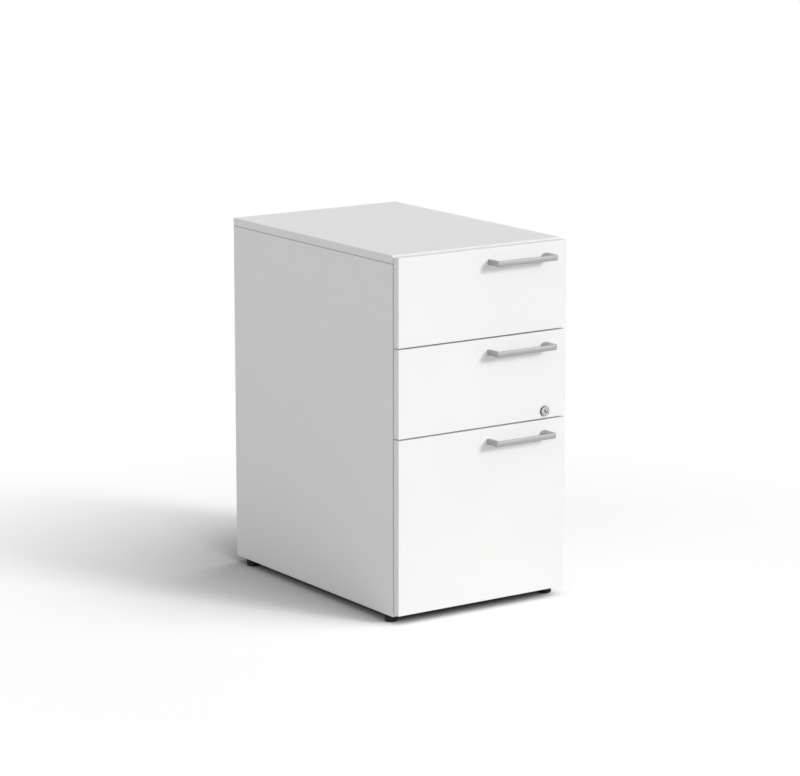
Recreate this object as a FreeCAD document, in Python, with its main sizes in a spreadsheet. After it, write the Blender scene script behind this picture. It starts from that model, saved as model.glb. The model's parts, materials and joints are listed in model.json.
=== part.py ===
"""Free-standing office pedestal: two box drawers over a file drawer, on ball slides, with a gang lock.

Millimetres, +Z up, the drawer fronts face -Y, the origin is under the middle of the whole outline.
"""
import FreeCAD, Part
import Sketcher
import math
import os

# Driving dimensions: alias, value in millimetres (angles in degrees), meaning
SIZES = [
    ("width", 392.0, "outside width across the side panels"),
    ("carcass_height", 697.0, "underside of the side panels to the top surface"),
    ("carcass_depth", 564.0, "front edge of the side panels to the back"),
    ("board", 16.0, "carcass board thickness"),
    ("front_board", 16.0, "drawer front thickness"),
    ("front_gap", 4.0, "gap between carcass and drawer fronts"),
    ("edge_radius", 0.8, "rounding of the banded board edges"),
    ("fit_gap", 0.2, "clearance on diameter of a fastener in its hole"),
    ("top_reveal", 2.5, "top surface to the upper edge of the top drawer front"),
    ("bottom_reveal", 5.5, "underside of the sides to the lower edge of the file drawer front"),
    ("front_reveal", 3.0, "gap between drawer fronts"),
    ("top_front_height", 171.0, "height of the top drawer front"),
    ("middle_front_height", 171.0, "height of the middle drawer front"),
    ("handle_length", 142.0, "outside length of a handle"),
    ("handle_projection", 34.0, "how far a handle stands out"),
    ("handle_height", 11.0, "height of the handle bar"),
    ("handle_bar", 8.0, "thickness of the handle bar, front to back"),
    ("handle_leg", 14.0, "width of a handle leg along the bar"),
    ("handle_bend", 2.6, "outer rounding where the bar turns into its leg"),
    ("handle_crook", 8.0, "inner rounding where the bar turns into its leg"),
    ("handle_softness", 2.0, "rounding along the handle's outer edges"),
    ("handle_back_softness", 3.9, "rounding along the handle's back edges, where the fingers go"),
    ("handle_inset", 45.5, "right end of a handle to the right edge of its front"),
    ("handle_drop", 26.0, "upper edge of a front to the middle of its handle"),
    ("handle_screw", 4.0, "handle screw diameter"),
    ("handle_screw_head", 8.0, "handle screw head diameter"),
    ("handle_screw_head_height", 2.4, "handle screw head height"),
    ("handle_screw_bite", 9.0, "length of handle screw inside the leg"),
    ("drawer_board", 12.0, "drawer side and back thickness"),
    ("drawer_base", 5.0, "drawer base thickness"),
    ("base_rise", 8.0, "lower edge of a drawer side to its base"),
    ("base_groove", 6.0, "depth of the groove that holds a drawer base"),
    ("drawer_end_gap", 32.0, "end of a drawer side to the back panel"),
    ("box_rise", 40.0, "lower edge of a box drawer front to the drawer side"),
    ("box_side_height", 100.0, "height of a box drawer side"),
    ("file_rise", 22.0, "lower edge of the file drawer front to the drawer side"),
    ("file_headroom", 69.0, "upper edge of a file drawer side to the upper edge of its front"),
    ("slide_space", 12.7, "side panel to drawer side, filled by a slide"),
    ("slide_sheet", 1.2, "steel thickness of the slide members"),
    ("slide_end_gap", 18.0, "fixed rail to the back panel"),
    ("rail_setback", 30.0, "carcass front to the fixed rail, clear of the lock bar"),
    ("runner_setback", 10.0, "carcass front to the runner on the drawer side"),
    ("rail_depth", 9.5, "fixed rail flange depth from the side panel"),
    ("runner_depth", 7.3, "runner flange depth from the drawer side"),
    ("carriage_back", 2.6, "side panel to the middle slide member"),
    ("carriage_depth", 7.7, "middle slide member flange depth"),
    ("box_rail_height", 35.0, "height of a box drawer's fixed rail"),
    ("file_rail_height", 45.0, "height of the file drawer's fixed rail"),
    ("box_slide_rise", 40.0, "lower edge of a box drawer side to the middle of its slide"),
    ("file_slide_rise", 45.0, "lower edge of the file drawer side to the middle of its slide"),
    ("box_stay", 125.0, "how far short of its slide length a box drawer stops"),
    ("ball", 3.0, "ball diameter"),
    ("ball_gap", 0.2, "clearance between a ball and its race"),
    ("ball_reach", 6.5, "side panel to the line of balls"),
    ("cage_sheet", 0.6, "ball cage thickness"),
    ("cage_gap", 0.4, "ball cage web to the web behind it"),
    ("cage_flange", 5.6, "ball cage flange depth"),
    ("box_cage_length", 96.0, "length of a box drawer's ball cage"),
    ("file_cage_length", 200.0, "length of a file drawer's ball cage"),
    ("slide_screw", 3.5, "slide screw diameter"),
    ("slide_screw_head", 7.0, "slide screw head diameter"),
    ("slide_screw_bite", 10.0, "length of slide screw in the board"),
    ("runner_head_height", 1.6, "pan head height of a runner screw"),
    ("slide_screw_inset", 35.0, "end of a slide member to its first screw"),
    ("cam", 15.0, "cam disc diameter"),
    ("cam_depth", 12.0, "carcass cam disc depth"),
    ("drawer_cam_depth", 9.5, "drawer cam disc depth"),
    ("cam_reach", 24.0, "board edge to the middle of its cam disc"),
    ("cam_bolt", 6.0, "cam bolt diameter"),
    ("cam_bolt_bite", 10.0, "length of cam bolt in a face"),
    ("cam_inset", 80.0, "carcass corner to its cam fittings"),
    ("box_cam_low", 36.0, "lower edge of a box drawer side to its lower cam"),
    ("box_cam_high", 80.0, "lower edge of a box drawer side to its upper cam"),
    ("file_cam_low", 85.0, "lower edge of the file drawer side to its lower cam"),
    ("file_cam_drop", 40.0, "upper edge of the file drawer side to its upper cam"),
    ("back_screw", 4.0, "drawer back screw diameter"),
    ("back_screw_head", 8.0, "drawer back screw head diameter"),
    ("back_screw_length", 34.0, "drawer back screw length"),
    ("back_screw_sink", 2.0, "depth of a drawer back screw's conical head"),
    ("box_back_low", 20.0, "lower edge of a box drawer side to its lower back screw"),
    ("box_back_high", 75.0, "lower edge of a box drawer side to its upper back screw"),
    ("file_back_low", 85.0, "lower edge of the file drawer side to its lower back screw"),
    ("file_back_drop", 40.0, "upper edge of the file drawer side to its upper back screw"),
    ("hanger_sheet", 1.5, "hanger rail thickness"),
    ("hanger_lip", 14.0, "hanger rail lip inside the drawer side"),
    ("hanger_stand", 13.0, "height of the hanger rail above the drawer side"),
    ("lock_inset", 50.0, "right edge of the middle front to the lock's axis"),
    ("lock_rise", 14.5, "lower edge of the middle front to the lock's axis"),
    ("lock_ring", 20.0, "lock ring diameter"),
    ("lock_proud", 4.0, "how far the lock ring stands out"),
    ("lock_bevel", 1.2, "bevel of the lock ring"),
    ("lock_barrel", 16.0, "lock barrel diameter"),
    ("lock_tail", 9.0, "lock barrel length behind the front"),
    ("lock_plug", 11.0, "lock core diameter"),
    ("lock_sink", 0.8, "core face behind the ring's face"),
    ("lock_nut_across", 22.0, "lock nut across its corners"),
    ("lock_nut_height", 5.0, "lock nut thickness"),
    ("lock_gap", 0.3, "running gap around the lock core"),
    ("lock_disc", 18.0, "diameter of the disc behind the lock core"),
    ("lock_disc_height", 3.0, "thickness of the disc behind the lock core"),
    ("lock_throw", 6.0, "lock axis to the drive pin's axis"),
    ("lock_turn", 90.0, "how far the key turns, in degrees"),
    ("lock_pin", 5.0, "drive pin diameter"),
    ("lock_pin_length", 8.0, "drive pin length"),
    ("key_slot_length", 5.5, "key slot length"),
    ("key_slot_width", 1.8, "key slot width"),
    ("key_slot_depth", 8.0, "key slot depth"),
    ("key_slot_lean", 35.0, "lean of the key slot from upright, in degrees"),
    ("bar_sheet", 3.0, "lock bar thickness"),
    ("bar_width", 18.0, "lock bar width, front to back"),
    ("bar_setback", 8.0, "carcass front to the lock bar"),
    ("bar_end", 6.0, "lock bar beyond its first and last tooth"),
    ("tab_sheet", 2.0, "thickness of the lock bar's tab"),
    ("tab_gap", 1.2, "lock disc to the lock bar's tab"),
    ("tab_height", 17.0, "height of the lock bar's tab"),
    ("tab_rim", 6.0, "tab beyond the far end of its slot"),
    ("slot_gap", 0.4, "drive pin to its slot"),
    ("tooth_reach", 7.0, "how far a tooth stands out of the lock bar"),
    ("tooth_height", 8.0, "height of a tooth"),
    ("tooth_depth", 8.0, "tooth size, front to back"),
    ("tooth_inset", 2.0, "front edge of the lock bar to a tooth"),
    ("tooth_gap", 0.6, "tooth to its stud when unlocked"),
    ("stud", 6.0, "drawer stud diameter"),
    ("stud_reach", 8.2, "how far a stud stands out of the drawer side"),
    ("stud_pin", 3.6, "stud spigot diameter"),
    ("stud_bite", 8.0, "length of stud spigot in the drawer side"),
    ("stud_catch", 1.0, "tooth to stud, front to back"),
    ("box_stud_rise", 20.0, "lower edge of a box drawer side to its stud"),
    ("file_stud_drop", 15.0, "upper edge of the file drawer side to its stud"),
    ("guide_sheet", 1.2, "lock bar guide strap thickness"),
    ("guide_foot", 6.0, "lock bar guide foot width"),
    ("guide_height", 12.0, "lock bar guide height"),
    ("guide_gap", 0.3, "lock bar to its guides"),
    ("lower_guide_drop", 58.5, "upper edge of the file drawer front to the lower bar guide"),
    ("upper_guide_rise", 9.5, "lower edge of the top drawer front to the upper bar guide"),
    ("foot_height", 14.0, "height of a glide under the carcass"),
    ("foot_pad", 24.0, "glide pad diameter"),
    ("foot_pad_height", 11.0, "glide pad height"),
    ("foot_bevel", 1.5, "bevel of the glide pad"),
    ("foot_neck", 12.0, "glide neck diameter"),
    ("foot_stem", 5.0, "glide stem diameter"),
    ("foot_stem_length", 28.0, "glide stem length in the carcass"),
    ("foot_side_inset", 12.0, "outer face of a side to the axis of a glide"),
    ("foot_front_inset", 23.0, "carcass front to the axis of a front glide"),
    ("foot_back_inset", 41.0, "carcass back to the axis of a rear glide"),
    ("insert", 6.8, "glide insert outside diameter"),
    ("insert_length", 20.0, "glide insert length"),
    ("insert_gap", 0.4, "clearance on diameter of a glide stem in its insert"),
]
BALLS_PER_ROW = 5
SCREWS_PER_SLIDE = 3
NUT_SIDES = 6
LEFT = -1
RIGHT = 1
TOUCH = 1e-6

doc = FreeCAD.newDocument("Pedestal")
sheet = doc.addObject("Spreadsheet::Sheet", "Sizes")
nodes = []


class Dim:
    """A size that keeps its number and the expression that binds it to the sheet."""

    def __init__(self, value, text):
        self.value = value
        self.text = text

    def __add__(self, other):
        other = dim(other)
        return Dim(self.value + other.value, "(%s + %s)" % (self.text, other.text))

    def __sub__(self, other):
        other = dim(other)
        return Dim(self.value - other.value, "(%s - %s)" % (self.text, other.text))

    def __mul__(self, other):
        other = dim(other)
        return Dim(self.value * other.value, "%s * %s" % (self.text, other.text))

    def __truediv__(self, other):
        other = dim(other)
        return Dim(self.value / other.value, "%s / %s" % (self.text, other.text))

    def __neg__(self):
        return Dim(-self.value, "(-1 * %s)" % self.text)


def dim(number):
    """A plain number as a size, or a size as it is."""
    if isinstance(number, Dim):
        return number
    return Dim(number, "(%s)" % number)


def across(length, angle):
    """The part of a length that lies along its zero direction, at an angle in degrees."""
    value = length.value * math.cos(math.radians(angle.value))
    return Dim(value, "%s * cos(%s * 1 deg)" % (length.text, angle.text))


def aside(length, angle):
    """The part of a length that lies square to its zero direction, at an angle in degrees."""
    value = length.value * math.sin(math.radians(angle.value))
    return Dim(value, "%s * sin(%s * 1 deg)" % (length.text, angle.text))


class SheetSizes:
    """The sheet's driving dimensions, each under its alias."""

    def __init__(self, rows):
        for row, (alias, value, meaning) in enumerate(rows, 1):
            sheet.set("A%d" % row, meaning)
            sheet.set("B%d" % row, str(value))
            sheet.setAlias("B%d" % row, alias)
            setattr(self, alias, Dim(value, "Sizes." + alias))


s = SheetSizes(SIZES)
DEGREE = Dim(1, "1 deg")
doc.recompute()


def node(piece, label):
    """Names a finished sub-part."""
    piece.Label = label
    nodes.append(piece)
    return piece


def bind(piece, **sizes):
    """Binds properties of a piece to sizes."""
    for name, size in sizes.items():
        piece.setExpression(name, dim(size).text)


def place(piece, x, y, z, axis=FreeCAD.Vector(0, 0, 1), angle=0):
    """Turns a piece about an axis and binds its place."""
    piece.Placement = FreeCAD.Placement(FreeCAD.Vector(), FreeCAD.Rotation(axis, angle))
    piece.setExpression("Placement.Base.x", dim(x).text)
    piece.setExpression("Placement.Base.y", dim(y).text)
    piece.setExpression("Placement.Base.z", dim(z).text)
    return piece


def block(x0, x1, y0, y1, z0, z1):
    """A box between two corners."""
    piece = doc.addObject("Part::Box", "Block")
    bind(piece, Length=dim(x1) - x0, Width=dim(y1) - y0, Height=dim(z1) - z0)
    return place(piece, x0, y0, z0)


def banded_board(x0, x1, y0, y1, z0, z1):
    """A board between two corners with softly rounded, banded edges."""
    body = doc.addObject("PartDesign::Body", "Board")
    core = body.newObject("PartDesign::AdditiveBox", "Core")
    bind(core, Length=dim(x1) - x0, Width=dim(y1) - y0, Height=dim(z1) - z0)
    doc.recompute()
    banding = body.newObject("PartDesign::Fillet", "Banding")
    banding.Base = (core, [""])
    banding.UseAllEdges = True
    bind(banding, Radius=s.edge_radius)
    return place(body, x0, y0, z0)


UPRIGHT = (FreeCAD.Vector(0, 0, 1), 0)
ALONG_X = (FreeCAD.Vector(0, 1, 0), 90)
ALONG_Y = (FreeCAD.Vector(1, 0, 0), -90)


def rod_x(diameter, x0, x1, y, z):
    """A round rod along X."""
    piece = doc.addObject("Part::Cylinder", "Rod")
    bind(piece, Radius=dim(diameter) / 2, Height=dim(x1) - x0)
    return place(piece, x0, y, z, *ALONG_X)


def rod_y(diameter, y0, y1, x, z):
    """A round rod along Y."""
    piece = doc.addObject("Part::Cylinder", "Rod")
    bind(piece, Radius=dim(diameter) / 2, Height=dim(y1) - y0)
    return place(piece, x, y0, z, *ALONG_Y)


def rod_z(diameter, z0, z1, x, y):
    """A round rod along Z."""
    piece = doc.addObject("Part::Cylinder", "Rod")
    bind(piece, Radius=dim(diameter) / 2, Height=dim(z1) - z0)
    return place(piece, x, y, z0, *UPRIGHT)


def cone_x(diameter0, diameter1, x0, x1, y, z):
    """A cone along X, from one diameter to the other."""
    piece = doc.addObject("Part::Cone", "Cone")
    bind(piece, Radius1=dim(diameter0) / 2, Radius2=dim(diameter1) / 2, Height=dim(x1) - x0)
    return place(piece, x0, y, z, *ALONG_X)


def side_rod(side, diameter, u0, u1, y, z):
    """A rod along X whose ends are distances from the middle plane, on one side of it."""
    if side == RIGHT:
        return rod_x(diameter, u0, u1, y, z)
    return rod_x(diameter, -dim(u1), -dim(u0), y, z)


def side_cone(side, diameter0, diameter1, u0, u1, y, z):
    """A cone along X whose ends are distances from the middle plane, on one side of it."""
    if side == RIGHT:
        return cone_x(diameter0, diameter1, u0, u1, y, z)
    return cone_x(diameter1, diameter0, -dim(u1), -dim(u0), y, z)


def side_span(side, u0, u1):
    """Two distances from the middle plane as lower and higher X on one side of it."""
    if side == RIGHT:
        return dim(u0), dim(u1)
    return -dim(u1), -dim(u0)


def group(pieces):
    """Several separate solids in one piece."""
    piece = doc.addObject("Part::Compound", "Group")
    piece.Links = pieces
    return piece


def fuse(pieces):
    """Overlapping solids joined into one."""
    piece = doc.addObject("Part::MultiFuse", "Joined")
    piece.Shapes = pieces
    piece.Refine = True
    return piece


def cut(base, tools):
    """A solid with others taken out of it."""
    piece = doc.addObject("Part::Cut", "Cut")
    piece.Base = base
    piece.Tool = tools[0] if len(tools) == 1 else group(tools)
    return piece


def origin_plane(body, role):
    """One of a body's own origin planes."""
    for feature in body.Origin.OriginFeatures:
        if feature.Role == role:
            return feature
    raise ValueError(role)


def outline(body, role, points):
    """A closed outline of straight edges, each corner bound to its two sizes."""
    sketch = body.newObject("Sketcher::SketchObject", "Outline")
    sketch.AttachmentSupport = (origin_plane(body, role), "")
    sketch.MapMode = "FlatFace"
    corners = [FreeCAD.Vector(dim(x).value, dim(y).value, 0) for x, y in points]
    count = len(corners)
    for i in range(count):
        sketch.addGeometry(Part.LineSegment(corners[i], corners[(i + 1) % count]), False)
    for i in range(count):
        sketch.addConstraint(Sketcher.Constraint("Coincident", i, 2, (i + 1) % count, 1))
    for i, corner in enumerate(points):
        for kind, axis, size in (("DistanceX", -2, corner[0]), ("DistanceY", -1, corner[1])):
            if isinstance(size, Dim):
                index = sketch.addConstraint(Sketcher.Constraint(kind, -1, 1, i, 1, size.value))
                sketch.setExpression("Constraints[%d]" % index, size.text)
            else:
                sketch.addConstraint(Sketcher.Constraint("PointOnObject", i, 1, axis))
    return sketch


def padded(points, role, length, backwards):
    """An outline padded into a solid."""
    body = doc.addObject("PartDesign::Body", "Padded")
    sketch = outline(body, role, points)
    pad = body.newObject("PartDesign::Pad", "Pad")
    pad.Profile = sketch
    pad.Reversed = backwards
    bind(pad, Length=length)
    return body


def turned(points, role):
    """An outline turned about its own upright axis into a round solid."""
    body = doc.addObject("PartDesign::Body", "Turned")
    sketch = outline(body, role, points)
    revolution = body.newObject("PartDesign::Revolution", "Revolution")
    revolution.Profile = sketch
    revolution.ReferenceAxis = (sketch, ["V_Axis"])
    return body


def rounded(body, feature, radius, chosen):
    """Rounds the edges of a body's last feature that a test chooses."""
    doc.recompute()
    names = ["Edge%d" % (i + 1) for i, edge in enumerate(feature.Shape.Edges) if chosen(edge)]
    fillet = body.newObject("PartDesign::Fillet", "Rounding")
    fillet.Base = (feature, names)
    bind(fillet, Radius=radius)
    return fillet


# Reference planes
total_depth = s.handle_projection + s.front_board + s.front_gap + s.carcass_depth
back = total_depth / 2
carcass_front = back - s.carcass_depth
front_back = carcass_front - s.front_gap
front_face = front_back - s.front_board
half = s.width / 2
inner = half - s.board
box_out = inner - s.slide_space
box_in = box_out - s.drawer_board
carcass_bottom = s.foot_height
carcass_top = s.foot_height + s.carcass_height
side_top = carcass_top - s.board
back_inner = back - s.board
drawer_end = back_inner - s.drawer_end_gap
back_face = drawer_end - s.drawer_board

# Slides: the file drawer opens by the whole length of its slides, a box drawer by less
slide_length = s.carcass_depth - s.board - s.rail_setback - s.slide_end_gap
box_travel = slide_length - s.box_stay
file_travel = slide_length

# Heights of the drawer fronts, from the top down
top_front_top = carcass_top - s.top_reveal
top_front_bottom = top_front_top - s.top_front_height
middle_front_top = top_front_bottom - s.front_reveal
middle_front_bottom = middle_front_top - s.middle_front_height
file_front_top = middle_front_bottom - s.front_reveal
file_front_bottom = carcass_bottom + s.bottom_reveal
file_side_height = file_front_top - file_front_bottom - s.file_rise - s.file_headroom

DRAWERS = {
    "top": {
        "bottom": top_front_bottom, "top": top_front_top, "rise": s.box_rise,
        "side_height": s.box_side_height, "cams": (s.box_cam_low, s.box_cam_high),
        "back_screws": (s.box_back_low, s.box_back_high), "stud_rise": s.box_stud_rise,
        "slide_rise": s.box_slide_rise, "rail_height": s.box_rail_height,
    },
    "middle": {
        "bottom": middle_front_bottom, "top": middle_front_top, "rise": s.box_rise,
        "side_height": s.box_side_height, "cams": (s.box_cam_low, s.box_cam_high),
        "back_screws": (s.box_back_low, s.box_back_high), "stud_rise": s.box_stud_rise,
        "slide_rise": s.box_slide_rise, "rail_height": s.box_rail_height,
    },
    "file": {
        "bottom": file_front_bottom, "top": file_front_top, "rise": s.file_rise,
        "side_height": file_side_height,
        "cams": (s.file_cam_low, file_side_height - s.file_cam_drop),
        "back_screws": (s.file_back_low, file_side_height - s.file_back_drop),
        "stud_rise": file_side_height - s.file_stud_drop,
        "slide_rise": s.file_slide_rise, "rail_height": s.file_rail_height,
    },
}
for data in DRAWERS.values():
    data["box_bottom"] = data["bottom"] + data["rise"]
    data["slide"] = data["box_bottom"] + data["slide_rise"]
    data["stud"] = data["box_bottom"] + data["stud_rise"]

# Slide sections, as half heights from the middle of the slide
race_step = s.ball + s.ball_gap * 2
SIDES = {"left": LEFT, "right": RIGHT}
stud_y = carcass_front + s.bar_setback + s.tooth_inset + s.tooth_depth + s.stud_catch + s.stud / 2


def screw_places(setback):
    """Y of the screws along a slide member."""
    first = carcass_front + setback + s.slide_screw_inset
    step = (slide_length - s.slide_screw_inset * 2) / (SCREWS_PER_SLIDE - 1)
    return [first + step * i for i in range(SCREWS_PER_SLIDE)]


def channel(side, y0, length, middle, height, back_u, depth, thickness):
    """A slide member: a channel whose web stands towards the side panel."""
    tip = dim(back_u) + depth
    web = dim(back_u) + thickness
    points = [
        (back_u, 0), (tip, 0), (tip, thickness), (web, thickness),
        (web, height - thickness), (tip, height - thickness), (tip, height), (back_u, height),
    ]
    return hung(padded(points, "XZ_Plane", length, True), side, y0, middle, height)


def runner_channel(side, y0, length, middle, height):
    """A slide runner: a channel whose web stands against the drawer side."""
    tip = s.slide_space - s.runner_depth
    web = s.slide_space - s.slide_sheet
    points = [
        (tip, 0), (s.slide_space, 0), (s.slide_space, height), (tip, height),
        (tip, height - s.slide_sheet), (web, height - s.slide_sheet),
        (web, s.slide_sheet), (tip, s.slide_sheet),
    ]
    return hung(padded(points, "XZ_Plane", length, True), side, y0, middle, height)


def hung(body, side, y0, middle, height):
    """Hangs a slide section on one side panel, turned to face the drawer."""
    if side == LEFT:
        return place(body, -inner, y0, middle - height / 2)
    return place(body, inner, y0, middle + height / 2, FreeCAD.Vector(0, 1, 0), 180)


def ball_cage(side, y0, length, middle, row, web_u):
    """A ball cage with two rows of balls, each row a distance from the middle of the slide."""
    height = row * 2 + s.cage_sheet
    strip = channel(side, y0, length, middle, height, web_u, s.cage_flange, s.cage_sheet)
    ball_x = (inner - s.ball_reach) * side
    pitch = length / BALLS_PER_ROW
    holes = []
    balls = []
    for i in range(BALLS_PER_ROW):
        y = y0 + pitch * i + pitch / 2
        holes.append(rod_z(s.ball + s.ball_gap * 2, middle - height, middle + height, ball_x, y))
        for level in (-1, 1):
            ball = doc.addObject("Part::Sphere", "Ball")
            bind(ball, Radius=s.ball / 2)
            balls.append(place(ball, ball_x, y, middle + row * level))
    return [cut(strip, holes)] + balls


# Carcass panels with their cam fittings and glide inserts
cam_fittings = []
panel_cuts = {"left": [], "right": [], "top": [], "bottom": [], "back": []}
bolt_hole = s.cam_bolt + s.fit_gap
cam_hole = s.cam + s.fit_gap
bolt_stop = s.cam_reach - s.cam / 2 - s.fit_gap
side_middle = half - s.board / 2
for name, side in SIDES.items():
    for y in (carcass_front + s.cam_inset, back_inner - s.cam_inset):
        cam_fittings.append(
            rod_z(s.cam_bolt, side_top - bolt_stop, side_top + s.cam_bolt_bite, side_middle * side, y))
        cam_fittings.append(
            side_rod(side, s.cam, inner, inner + s.cam_depth, y, side_top - s.cam_reach))
        panel_cuts["top"].append(
            rod_z(bolt_hole, side_top, side_top + s.cam_bolt_bite, side_middle * side, y))
        panel_cuts[name].append(
            rod_z(bolt_hole, side_top - s.cam_reach, side_top, side_middle * side, y))
        panel_cuts[name].append(
            side_rod(side, cam_hole, inner, inner + s.cam_depth, y, side_top - s.cam_reach))
        bolt_z = carcass_bottom + s.board / 2
        cam_fittings.append(
            side_rod(side, s.cam_bolt, inner - bolt_stop, inner + s.cam_bolt_bite, y, bolt_z))
        cam_fittings.append(
            rod_z(s.cam, carcass_bottom, carcass_bottom + s.cam_depth, (inner - s.cam_reach) * side, y))
        panel_cuts[name].append(side_rod(side, bolt_hole, inner, inner + s.cam_bolt_bite, y, bolt_z))
        panel_cuts["bottom"].append(side_rod(side, bolt_hole, inner - s.cam_reach, inner, y, bolt_z))
        panel_cuts["bottom"].append(
            rod_z(cam_hole, carcass_bottom, carcass_bottom + s.cam_depth, (inner - s.cam_reach) * side, y))
    for z in (carcass_bottom + s.board + s.cam_inset, side_top - s.cam_inset):
        bolt_y = back - s.board / 2
        cam_fittings.append(
            side_rod(side, s.cam_bolt, inner - bolt_stop, inner + s.cam_bolt_bite, bolt_y, z))
        cam_fittings.append(
            rod_y(s.cam, back_inner, back_inner + s.cam_depth, (inner - s.cam_reach) * side, z))
        panel_cuts[name].append(side_rod(side, bolt_hole, inner, inner + s.cam_bolt_bite, bolt_y, z))
        panel_cuts["back"].append(side_rod(side, bolt_hole, inner - s.cam_reach, inner, bolt_y, z))
        panel_cuts["back"].append(
            rod_y(cam_hole, back_inner, back_inner + s.cam_depth, (inner - s.cam_reach) * side, z))

# Levelling glides in threaded inserts
inserts = []
foot_places = {
    "front": carcass_front + s.foot_front_inset,
    "rear": back - s.foot_back_inset,
}
foot_outline = [
    (0, 0), (s.foot_pad / 2 - s.foot_bevel, 0), (s.foot_pad / 2, s.foot_bevel),
    (s.foot_pad / 2, s.foot_pad_height), (s.foot_neck / 2, s.foot_pad_height),
    (s.foot_neck / 2, s.foot_height), (s.foot_stem / 2, s.foot_height),
    (s.foot_stem / 2, s.foot_height + s.foot_stem_length), (0, s.foot_height + s.foot_stem_length),
]
for end, y in foot_places.items():
    for name, side in SIDES.items():
        x = (half - s.foot_side_inset) * side
        glide = place(turned(foot_outline, "XZ_Plane"), x, y, 0)
        node(glide, "%s_%s_glide" % (end, name))
        sleeve = rod_z(s.insert, carcass_bottom, carcass_bottom + s.insert_length, x, y)
        bore = rod_z(
            s.foot_stem + s.insert_gap, carcass_bottom, carcass_bottom + s.insert_length, x, y)
        inserts.append(cut(sleeve, [bore]))
        panel_cuts[name].append(
            rod_z(s.insert + s.fit_gap, carcass_bottom, carcass_bottom + s.insert_length, x, y))
        panel_cuts[name].append(
            rod_z(s.foot_stem + s.insert_gap, carcass_bottom,
                  carcass_bottom + s.foot_stem_length + s.fit_gap, x, y))

# Fixed rails, ball cages and the screws that hold the rails
slide_screws = []
for drawer, data in DRAWERS.items():
    for name, side in SIDES.items():
        rail = channel(side, carcass_front + s.rail_setback, slide_length, data["slide"],
                       data["rail_height"], 0, s.rail_depth, s.slide_sheet)
        sinks = []
        for y in screw_places(s.rail_setback):
            slide_screws.append(fuse([
                side_cone(side, s.slide_screw_head, s.slide_screw, inner - s.slide_sheet, inner,
                          y, data["slide"]),
                side_rod(side, s.slide_screw, inner, inner + s.slide_screw_bite, y, data["slide"]),
            ]))
            sinks.append(
                side_cone(side, s.slide_screw_head + s.fit_gap, s.slide_screw + s.fit_gap,
                          inner - s.slide_sheet, inner, y, data["slide"]))
            panel_cuts[name].append(
                side_rod(side, s.slide_screw + s.fit_gap, inner, inner + s.slide_screw_bite,
                         y, data["slide"]))
        node(cut(rail, sinks), "%s_%s_slide_rail" % (drawer, name))
node(group(slide_screws), "slide_screws")
node(group(cam_fittings), "cam_fittings")
node(group(inserts), "glide_inserts")


def race_half(data):
    """Half height of the inside of a fixed rail."""
    return data["rail_height"] / 2 - s.slide_sheet


def first_row(data):
    """Middle of the slide to the balls that run in its fixed rail."""
    return race_half(data) - race_step / 2


carriage_half = race_half(DRAWERS["file"]) - race_step
file_runner_half = carriage_half - s.slide_sheet - race_step
box_runner_half = race_half(DRAWERS["top"]) - race_step
runner_halves = {"top": box_runner_half, "middle": box_runner_half, "file": file_runner_half}

for name, side in SIDES.items():
    carriage = channel(side, carcass_front + s.rail_setback, slide_length, DRAWERS["file"]["slide"],
                       carriage_half * 2, s.carriage_back, s.carriage_depth, s.slide_sheet)
    node(carriage, "file_%s_slide_carriage" % name)

# Each cage rests where it stays between its two members at the end of the drawer's travel
rail_start = carcass_front + s.rail_setback
runner_start = carcass_front + s.runner_setback
box_lap = runner_start + slide_length - box_travel - rail_start
box_cage_y = rail_start + (box_lap - s.box_cage_length) / 2 + box_travel / 2
rear_lap = slide_length - file_travel / 2
rear_cage_y = rail_start + (rear_lap - s.file_cage_length) / 2 + file_travel / 4
front_lap_start = rail_start - file_travel / 2
front_lap = runner_start + slide_length - file_travel - front_lap_start
front_cage_y = front_lap_start + (front_lap - s.file_cage_length) / 2 + file_travel * 3 / 4
outer_web = s.slide_sheet + s.cage_gap
inner_web = s.carriage_back + s.slide_sheet + s.cage_gap
for drawer in ("top", "middle"):
    data = DRAWERS[drawer]
    cages = []
    for side in SIDES.values():
        cages += ball_cage(side, box_cage_y, s.box_cage_length, data["slide"], first_row(data), outer_web)
    node(group(cages), "%s_ball_cages" % drawer)
rear_cages = []
front_cages = []
file_slide = DRAWERS["file"]["slide"]
inner_row = carriage_half - s.slide_sheet - race_step / 2
for side in SIDES.values():
    rear_cages += ball_cage(
        side, rear_cage_y, s.file_cage_length, file_slide, first_row(DRAWERS["file"]), outer_web)
    front_cages += ball_cage(
        side, front_cage_y, s.file_cage_length, file_slide, inner_row, inner_web)
node(group(rear_cages), "file_rear_ball_cages")
node(group(front_cages), "file_front_ball_cages")

# Lock: ring and barrel, nut, turning core with its drive pin
lock_x = half - s.lock_inset
lock_z = middle_front_bottom + s.lock_rise
lock_front = front_face - s.lock_proud
barrel_length = s.lock_proud + s.front_board + s.lock_tail
housing_outline = [
    (s.lock_plug / 2 + s.lock_gap, 0), (s.lock_ring / 2 - s.lock_bevel, 0),
    (s.lock_ring / 2, s.lock_bevel), (s.lock_ring / 2, s.lock_proud),
    (s.lock_barrel / 2, s.lock_proud), (s.lock_barrel / 2, barrel_length),
    (s.lock_plug / 2 + s.lock_gap, barrel_length),
]
node(place(turned(housing_outline, "XY_Plane"), lock_x, lock_front, lock_z), "lock_housing")
nut = doc.addObject("Part::Prism", "Nut")
nut.Polygon = NUT_SIDES
bind(nut, Circumradius=s.lock_nut_across / 2, Height=s.lock_nut_height)
place(nut, lock_x, front_back, lock_z, *ALONG_Y)
nut_bore = rod_y(s.lock_barrel + s.fit_gap, front_back, front_back + s.lock_nut_height, lock_x, lock_z)
node(cut(nut, [nut_bore]), "lock_nut")
core_length = barrel_length - s.lock_sink + s.lock_gap
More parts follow.
